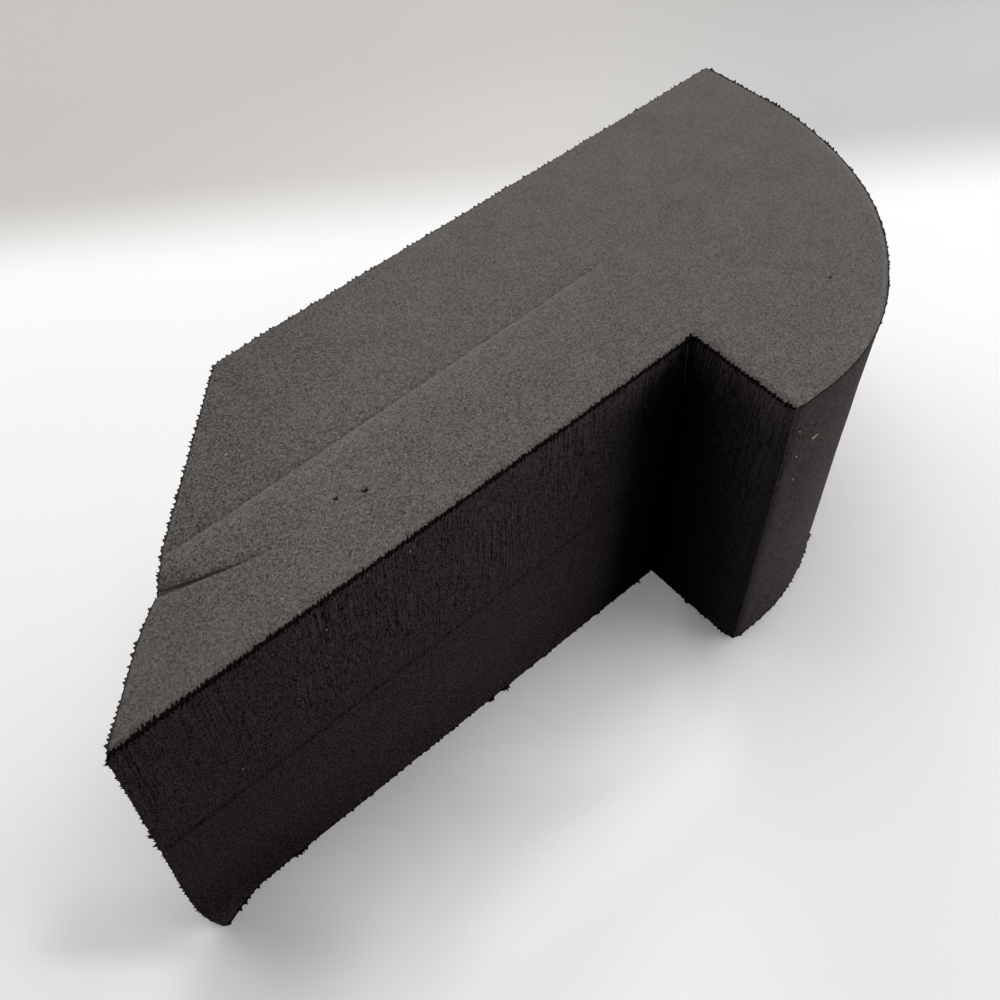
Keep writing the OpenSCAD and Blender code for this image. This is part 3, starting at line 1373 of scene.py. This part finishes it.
@dataclass
class Studio:
    """A plain pale floor under soft lamps, with the camera."""

    camera: Camera = field(default_factory=Camera)
    glow: float = 0.001
    backdrop: float = 0.80
    half_width: float = 2500
    horizon: tuple[float, float] = (550, 1500)
    lamps: tuple[Lamp, ...] = (
        Lamp("overhead", 20, 87, 5.7),
        Lamp("back", 182, 60, 3.9),
        Lamp("back_left", 242, 60, 1.3),
        Lamp("back_right", 100, 60, 1.9),
        Lamp("window_right", 92, 10, 11.2),
        Lamp("window_front", 47, 10, 8.7),
        Lamp("window_back", 206, 10, 6.4),
    )

    def _world(self) -> None:
        """A pale backdrop for the rays that show a surface, and a faint even glow for everything else."""
        graph = ShaderGraph("studio", world=True)
        strength = graph.seen() * (self.backdrop - self.glow) + self.glow
        sky = graph.node("ShaderNodeBackground", inputs={"Color": grey(1.0), "Strength": strength})
        bpy.context.scene.world = graph.shown(sky, "ShaderNodeOutputWorld")

    def _floor_tones(self, graph: ShaderGraph, ahead: Signal, aside: Signal) -> tuple[Socket, Signal]:
        """The floor's colour, with painted shadow and painted light in it, and a painted glow that lies on it
        in front of the block.

        Three bands cross the picture: a bright near one, a duller middle one and a far one, each
        with its own painted fall of light from left to right.

        Args:
            graph: The graph to build in.
            ahead: The distance from the block's middle, the way that the camera looks.
            aside: The distance to the right of it.

        Returns:
            The colour and the strength of the painted glow.
        """
        bent = ahead - aside * 0.12
        # Painted light on the floor in front of the block, and painted shadow by the sharp tip's foot.
        before = ahead.ramp(0, -50) * aside.between(-120, -60, 30, 80)
        in_corner = 1.0 - aside.ramp(-72, -88) * ahead.ramp(-94, -103) * 0.9
        corner = ahead.ramp(-74, -98) * aside.between(-125, -105, -60, -25) * in_corner
        near = graph.layered(
            grey(0.92),
            (aside.ramp(-30, -110), (0.965, 0.965, 0.96)),
            (aside.ramp(45, 100), (0.885, 0.885, 0.89)),
            (aside.ramp(108, 135) * ahead.ramp(20, -30), (0.915, 0.915, 0.92)),
            (before, grey(0.985)),
            (corner, grey(0.78)),
        )
        middle = graph.layered(
            (0.585, 0.565, 0.535),
            (aside.ramp(-150, 0), (0.625, 0.605, 0.58)),
            (aside.ramp(0, 130), (0.515, 0.52, 0.525)),
        )
        far = graph.layered((0.55, 0.53, 0.50), (aside.ramp(0, 200), (0.435, 0.445, 0.455)))
        whole = graph.layered(near, (bent.ramp(152, 206), middle), ((bent - aside * 0.2).ramp(200, 290), far))
        # A painted glow that lightens the block's shadow in front of it and by the notch.
        band = abs(ahead - aside * 0.87 + 90).ramp(22, 4) * aside.between(-30, 0, 50, 66)
        front = ahead.between(-62, -45, 20, 40) * aside.between(-35, 5, 44, 56)
        return whole, (band * 0.070).larger(front * 0.065)

    def _floor(self) -> Piece:
        """A wide floor that reads pale to the camera and throws little light back at the block.

        Far from the block it fades into the backdrop.

        Returns:
            The floor.
        """
        corners = np.array([[-1, -1, 0], [1, -1, 0], [1, 1, 0], [-1, 1, 0]]) * self.half_width
        floor = mesh_piece("floor", corners, [np.array([[0, 1, 2, 3]])], smooth=False)
        graph = ShaderGraph("floor")
        turn = math.radians(self.camera.heading)
        x, y, _ = graph.split(graph.place())
        away = (x * x + y * y).ramp(self.horizon[0] ** 2, self.horizon[1] ** 2)
        seen = graph.seen()
        ahead = x * math.sin(turn) + y * math.cos(turn)
        aside = x * math.cos(turn) - y * math.sin(turn)
        pale, painted_glow = self._floor_tones(graph, ahead, aside)
        near = graph.node("ShaderNodeBsdfPrincipled", inputs={
            "Base Color": graph.mix(seen, grey(0.004), pale), "Roughness": 0.8, "Specular IOR Level": 0.0,
            "Emission Color": graph.scaled(grey(1.0), painted_glow * seen), "Emission Strength": 1.0,
        })
        beyond = graph.node("ShaderNodeEmission", inputs={"Color": grey(1.0), "Strength": self.backdrop})
        shaders = {0: away * seen, 1: near.outputs[0], 2: beyond.outputs[0]}
        floor.data.materials.append(graph.shown(graph.node("ShaderNodeMixShader", inputs=shaders)))
        return floor

    def build(self) -> None:
        """Sets up floor, lamps, sky and camera."""
        self._world()
        self._floor()
        for lamp in self.lamps:
            lamp.hang()
        self.camera.place()
        bpy.context.scene.view_settings.view_transform = "Standard"
        LOG.info("studio: %d lamps", len(self.lamps))


# ---------------------------------------------------------------- the whole block


class Stretch(Enum):
    """A stretch of the outline with one kind of burr."""

    FRONT = "front"
    STEP = "step"
    HEAD = "head"
    BACK = "back"
    END = "end"


# On the front and the step the long skirt lays a near-black band down the face under the edge: painted shade
# under the overhanging lip, besides the real torn teeth.
TOP_BURRS = {
    Stretch.FRONT: BurrStyle(
        130, 0.80, 2.1, 0.95, (0.34, 0.24), 0.47, scatter=0.3, least=0.5, taper=0.45, beading=0.75, slant=0.3
    ),
    Stretch.STEP: BurrStyle(
        130, 0.78, 1.6, 1.15, (0.36, 0.24), 0.17, scatter=0.25, least=0.45, beading=0.75, slant=0.3
    ),
    Stretch.HEAD: BurrStyle(70, 0.72, 0.5, 0.95, (0.32, 0.28), 0.2, 0.2, least=0.1),
    Stretch.BACK: BurrStyle(35, 0.75, 0.4, 1.35, (0.38, 0.28), 0.0, 0.15, least=0.2),
    Stretch.END: BurrStyle(25, 0.9, 0.6, 1.2, (0.42, 0.34), 0.0, 0.2, least=0.2),
}
FOOT_BURR = BurrStyle(-10, 0.7, 0.4, 0.9, (0.3, 0.3), 0.1, scatter=0.8, least=0.0)
CORNER_BURR = BurrStyle(0, 0.7, 0.25, 0.75, (0.3, 0.35), 0.04, scatter=0.8, least=0.0)
# Single long shreds: the distance along the stretch and the length
TOP_SHREDS = {Stretch.FRONT: ((155.6, 0.9), (156.7, 1.0))}
FOOT_SHREDS = {
    Stretch.FRONT: (
        (4.8, 0.9), (6.8, 1.1), (11.6, 0.9), (23.6, 1.1), (24.6, 1.5), (25.5, 1.4), (26.4, 1.1), (44.5, 0.8),
        (89.2, 0.9), (90.0, 1.3), (94.2, 1.2), (95.0, 1.7), (95.8, 1.3), (131.0, 0.9), (147.0, 1.5),
    ),
    Stretch.STEP: ((14.1, 0.9), (14.8, 1.2), (26.8, 0.8)),
    Stretch.HEAD: ((24.0, 0.8), (43.5, 0.9), (44.4, 1.1), (57.0, 1.0)),
}
CORNER_SHREDS = {
    Bond.BELOW: ((3.8, 1.3), (8.3, 1.1), (8.9, 1.3), (44.4, 1.2), (45.2, 1.3)),
    Bond.ABOVE: ((14.0, 0.9), (31.0, 0.9)),
}


@dataclass
class FoamBlock:
    """The block: two foam sheets, their pits and folds, and the burrs along their sawn edges."""

    def __post_init__(self) -> None:
        """Reads the block's overall sizes from its construction."""
        low, high = np.array(CAD_BOX) / MM
        self.top = high[2]
        self.outline = SawnOutline(length=high[0] - low[0], depth=high[1] - low[1])
        self.tip = np.array([low[0], low[1] + self.outline.step_depth, 0.0])

    def folds(self) -> list[Fold]:
        """The fold lines in the top skin.

        Returns:
            The long one, the short deep one and the faint one behind that.
        """
        return [
            Fold(
                (35, 29.75), 0.5, 125, 0.7, 2.4, 0.3, 2.6,
                fade=0.35, front_highlight=0.12, crest_highlight=0.27, shade_behind=0.15, shade_behind_width=0.9, line=0.0,
            ),
            Fold(
                (26, 23.6), -16.5, 30, 2.0, 0.4, 0.28, 2.8, -0.7,
                fade=1.2, shade_behind=0.40, line=0.65, line_width=0.42,
            ),
            Fold((29.5, 25.0), -17.0, 9, 0.3, 0.5, 0.2, 0.8, 0.3, shade_behind=0.05, line=0.15),
        ]

    def pits(self) -> list[Pit]:
        """The open pits in the top skin.

        Returns:
            All of them.
        """
        laid_out = (
            (73.0, 15.3, 0.8, 1.0), (67.1, 17.7, 0.62, 1.0), (169.3, -14.7, 0.45, 0.6),
            (195.4, -9.3, 0.6, 0.8), (70.0, 19.6, 0.4, 0.3), (38.7, 11.7, 0.5, 0.4),
        )
        left, front, _ = self.tip
        return [Pit((left + x, front + y, self.top), radius, strength) for x, y, radius, strength in laid_out]

    def crumbs(self) -> Crumbs:
        """The crumbs on the top skin, on the front face and on the head.

        Returns:
            All of them.
        """
        on_top = (
            (56.7, 42.8, 0.30), (59.5, 41.8, 0.22), (77.7, 30.3, 0.26), (70.7, 3.0, 0.2), (64.0, 29.0, 0.18),
            (121.0, 38.0, 0.16), (88.0, 22.6, 0.2), (44.0, 5.0, 0.18),
        )
        on_front = (
            (49.4, 88.7, 0.48), (72.0, 95.0, 0.384), (39.5, 71.0, 0.256), (101.0, 80.0, 0.256),
            (23.0, 60.0, 0.256),
        )
        on_head = ((160.9, 89.8), (162.4, 79.5), (163.8, 69.6))
        places = [((x, y, self.top), size) for x, y, size in on_top]
        places += [((x, -0.1, z), size) for x, z, size in on_front]
        places += [((x, -31.6, z), 0.42) for x, z in on_head]
        return Crumbs("crumbs", [(self.tip + np.array(place), size) for place, size in places])

    def straw_fleck(self) -> Crumbs:
        """A straw-coloured fleck on the head's front wall: a short row of crumbs, smaller and smaller.

        Returns:
            The row.
        """
        start, end = np.array([167.4, -31.65, 82.2]), np.array([170.0, -31.6, 81.9])
        shares = np.linspace(0, 1, 8)
        places = [(self.tip + start + share * (end - start), 0.42 - 0.30 * share) for share in shares]
        return Crumbs("straw_fleck", places)

    def _cap_grids(self) -> tuple[CapGrid, CapGrid]:
        """The lower sheet's plain grid, and the upper one's, which is fine at the edges, folds and pinch.

        Returns:
            The two grids.
        """
        line = self.outline
        face, width, step, head = line.face_length, line.bar_width, line.step_depth, line.head_length
        plain = CapGrid(
            line,
            along_bar=graded((0, 0.35), (30, 1.2), (face, 1.2)),
            across_bar=graded((0, 0.35), (20, 1.2), (width, 1.2)),
            across_step=graded((-step, 1.2), (0, 1.2)),
            along_head=graded((0, 1.2), (head, 1.2)),
        )
        fine = CapGrid(
            line,
            along_bar=graded((0, 0.5), (48, 0.55), (70, 1.3), (face, 1.3)),
            across_bar=graded(
                (0, 0.3), (2, 0.8), (11, 0.7), (15, 0.24), (26, 0.24), (28, 0.4), (29.2, 0.2), (30.6, 0.2),
                (33, 0.6), (40, 1.2), (width, 1.2),
            ),
            across_step=graded((-step, 0.35), (3 - step, 1.2), (0, 1.0)),
            along_head=graded((0, 0.35), (3, 1.3), (head - 3, 1.3), (head, 0.4)),
        )
        return plain, fine

    def build(self) -> None:
        """Builds both sheets, their burrs and the crumbs."""
        wear = Wear(self.outline, self.top, self.folds())
        skin = SkinFinish().material("foam_skin", self.tip, self.folds(), self.pits())
        sawn = SawnFinish().material("sawn_foam")
        plain, fine = self._cap_grids()
        lower = FoamSheet("lower_sheet", "lower_foam", Bond.ABOVE, self.outline, wear, self.tip, plain)
        upper = FoamSheet("upper_sheet", "upper_foam", Bond.BELOW, self.outline, wear, self.tip, fine)
        for sheet in (lower, upper):
            sheet.dress(sheet.build(), skin, sawn)
        # The torn lip is one material in lit and shaded copies: the near-black one is painted shade, for the
        # front and step top edges and the whole foot; the umber one is half painted shade, for the end and
        # head top edges and the tip's corners; the brown one is the lit copy, for the back top edge.
        black = TornFinish((0.003, 0.0025, 0.0025), (0.012, 0.009, 0.009)).material("torn_shaded")
        brown = TornFinish((0.045, 0.038, 0.035), (0.095, 0.085, 0.078)).material("torn_lit")
        umber = TornFinish((0.016, 0.012, 0.011), (0.055, 0.045, 0.041)).material("torn_half_lit")
        top = {Stretch.FRONT: black, Stretch.STEP: black, Stretch.END: umber, Stretch.HEAD: umber}
        self._edge_burrs(upper, 1.0, top, brown)
        self._edge_burrs(lower, -1.0, {}, black)
        for sheet in (upper, lower):
            self._corner_burr(sheet, umber)
        straw = CrumbFinish((0.26, 0.24, 0.18), (0.56, 0.52, 0.40))
        for dust, finish in ((self.crumbs(), CrumbFinish()), (self.straw_fleck(), straw)):
            fasten(dust.build(), upper.slot, finish.material(dust.name))

    def _stretches(self, flat: Array) -> dict[Stretch, Array]:
        """Sorts rim points by the stretch of the outline that they lie on.

        Args:
            flat: (n, 2) rim points, in order from the sharp front tip.

        Returns:
            The numbers of each stretch's points, in the rim's order.
        """
        x, y = flat.T
        face, hair = self.outline.face_length, 1e-4
        masks = {
            Stretch.FRONT: (np.abs(y) < hair) & (x < face + hair),
            Stretch.STEP: (np.abs(x - face) < hair) & (y < hair),
            Stretch.BACK: np.abs(y - self.outline.bar_width) < hair,
            Stretch.END: (np.abs(x - self.outline.end_x(y)) < hair) & (y > -hair),
        }
        masks[Stretch.HEAD] = ~np.any(list(masks.values()), axis=0)
        found = {stretch: np.flatnonzero(mask) for stretch, mask in masks.items()}
        found[Stretch.END] = np.append(found[Stretch.END][1:], 0)
        return found

    def _edge_burrs(
        self, sheet: FoamSheet, up: float, finishes: dict[Stretch, Material], usual: Material
    ) -> None:
        """Tears a burr along each stretch of a sheet's top or bottom edge.

        Args:
            sheet: The sheet.
            up: 1 for the top edge and -1 for the bottom one.
            finishes: The material of some stretches.
            usual: The material of the others.
        """
        where, edge, seed, shreds = (
            ("top", sheet.top_edge, 40, TOP_SHREDS) if up > 0 else ("foot", sheet.low_edge, 60, FOOT_SHREDS)
        )
        stretches = self._stretches(sheet.cap.points[sheet.cap.rim])
        for number, (stretch, order) in enumerate(stretches.items()):
            style = TOP_BURRS[stretch] if up > 0 else FOOT_BURR
            burr = SawBurr(f"{where}_burr_{stretch.value}", style, seed + number, shreds.get(stretch, ()))
            piece = burr.build(edge[order], sheet.edge_normal[order], np.array([0.0, 0.0, up]))
            fasten(piece, sheet.slot, finishes.get(stretch, usual))

    def _corner_burr(self, sheet: FoamSheet, finish: Material) -> None:
        """Roughens the sheet's upright edge at the sharp front tip.

        Args:
            sheet: The sheet.
            finish: The burr's material.
        """
        outward = np.tile([-0.88, 0.47, 0.0], (len(sheet.tip_edge), 1))
        shreds = CORNER_SHREDS[sheet.bond]
        burr = SawBurr(f"corner_burr_{sheet.bond.value}", CORNER_BURR, 80 + len(shreds), shreds)
        fasten(burr.build(sheet.tip_edge, outward, np.array([-0.47, -0.88, 0.0])), sheet.slot, finish)


def main() -> None:
    """Builds the block and its studio."""
    logging.basicConfig(level=logging.INFO, format="%(message)s")
    FoamBlock().build()
    Studio().build()


if __name__ == "__main__":
    main()
